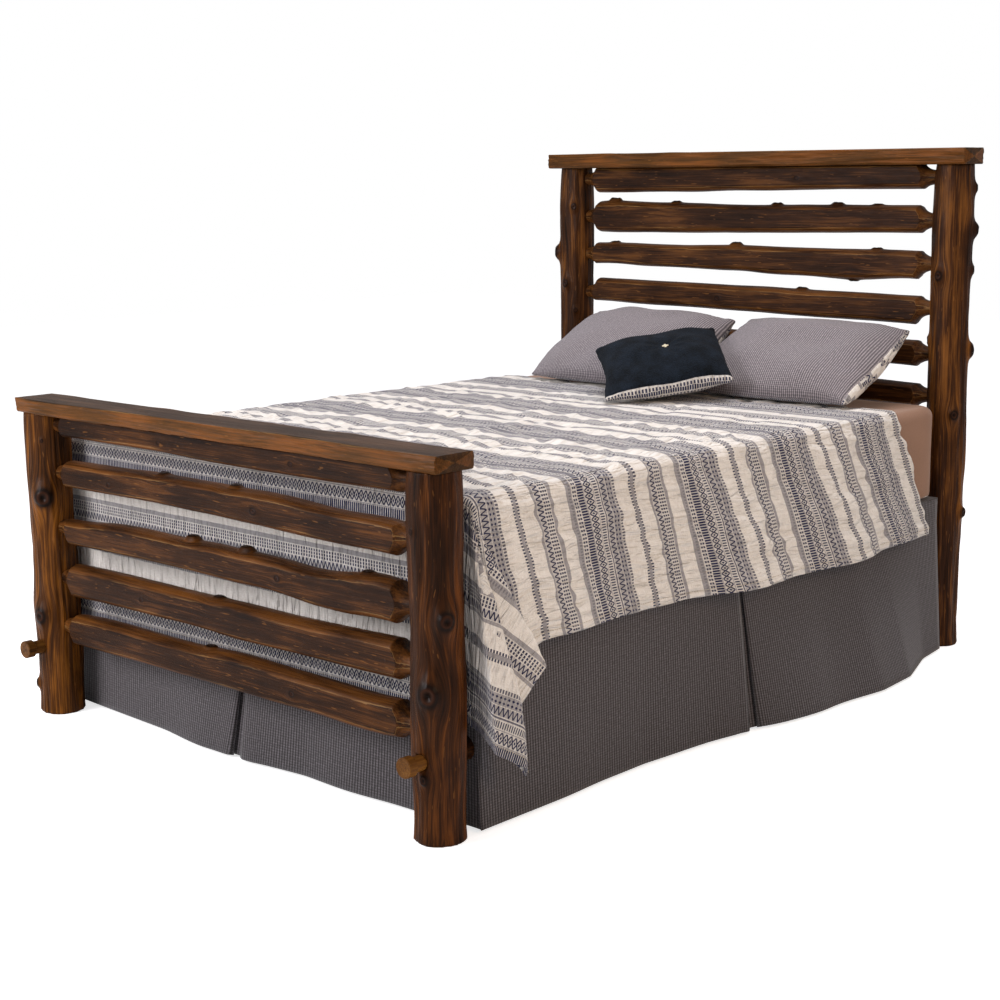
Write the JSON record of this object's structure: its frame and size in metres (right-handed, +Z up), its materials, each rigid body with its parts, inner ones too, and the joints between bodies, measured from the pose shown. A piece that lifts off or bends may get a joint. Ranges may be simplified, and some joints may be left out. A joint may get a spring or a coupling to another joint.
{
  "type": "log bed",
  "caption": "Rustic log bed with slabbed rails between round posts, plank caps, slatted side rails, mattress, skirt, striped comforter, shams and a toss pillow.",
  "frame": {"origin": "on the floor, under the middle of the whole object", "axes": "+X to the right as seen from the foot, +Y from the foot to the head, +Z up"},
  "size_m": [1.782, 2.3724, 1.509],
  "materials": {
    "stained_log": "walnut stain under satin lacquer",
    "raw_wood": "planed, unfinished",
    "dowel_wood": "turned beech",
    "zinc_steel": "zinc plated",
    "box_spring_cover": "woven ticking",
    "mattress_cover": "knitted ticking",
    "sheet_cotton": "tan percale",
    "skirt_tweed": "grey mauve woven tweed",
    "comforter_weave": "cream cotton with woven grey and charcoal stripes",
    "sham_tweed": "grey pin-stripe tweed",
    "toss_chenille": "navy black chenille",
    "shell": "polished shell"
  },
  "bodies": {
    "bed": {"headboard_post_left": "stained_log", "headboard_post_right": "stained_log", "headboard_cap": "stained_log", "headboard_rail_1": "stained_log", "headboard_rail_2": "stained_log", "headboard_rail_3": "stained_log", "headboard_rail_4": "stained_log", "headboard_rail_5": "stained_log", "headboard_rail_6": "stained_log", "footboard_post_left": "stained_log", "footboard_post_right": "stained_log", "footboard_cap": "stained_log", "footboard_rail_1": "stained_log", "footboard_rail_2": "stained_log", "footboard_rail_3": "stained_log", "footboard_rail_4": "stained_log", "footboard_rail_5": "stained_log", "side_rail_left": "stained_log", "side_rail_right": "stained_log", "slat_1": "raw_wood", "slat_2": "raw_wood", "slat_3": "raw_wood", "slat_4": "raw_wood", "slat_5": "raw_wood", "slat_leg_1": "raw_wood", "slat_leg_2": "raw_wood", "slat_leg_3": "raw_wood", "slat_screws": "zinc_steel", "bed_bolts": "zinc_steel", "bolt_washers": "zinc_steel", "barrel_nuts": "zinc_steel", "bolt_knob_left": "stained_log", "bolt_knob_right": "stained_log", "cap_dowels": "dowel_wood", "box_spring": "box_spring_cover", "mattress": "mattress_cover", "fitted_sheet": "sheet_cotton", "bed_skirt": "skirt_tweed", "comforter": "comforter_weave"},
    "left_sham": {"sham_left": "sham_tweed"},
    "right_sham": {"sham_right": "sham_tweed"},
    "toss": {"toss_pillow": "toss_chenille", "toss_pillow_button": "shell"}
  },
  "joints": [
    {"name": "left_sham_draws_out", "type": "slide", "parent": "bed", "child": "left_sham", "axis": [-1, 0, 0], "range_m": [0, 0.25]},
    {"name": "right_sham_draws_out", "type": "slide", "parent": "bed", "child": "right_sham", "axis": [1, 0, 0], "range_m": [0, 0.25]},
    {"name": "toss_pillow_lifts_off", "type": "slide", "parent": "bed", "child": "toss", "axis": [0, 0, 1], "range_m": [0, 0.3]}
  ]
}
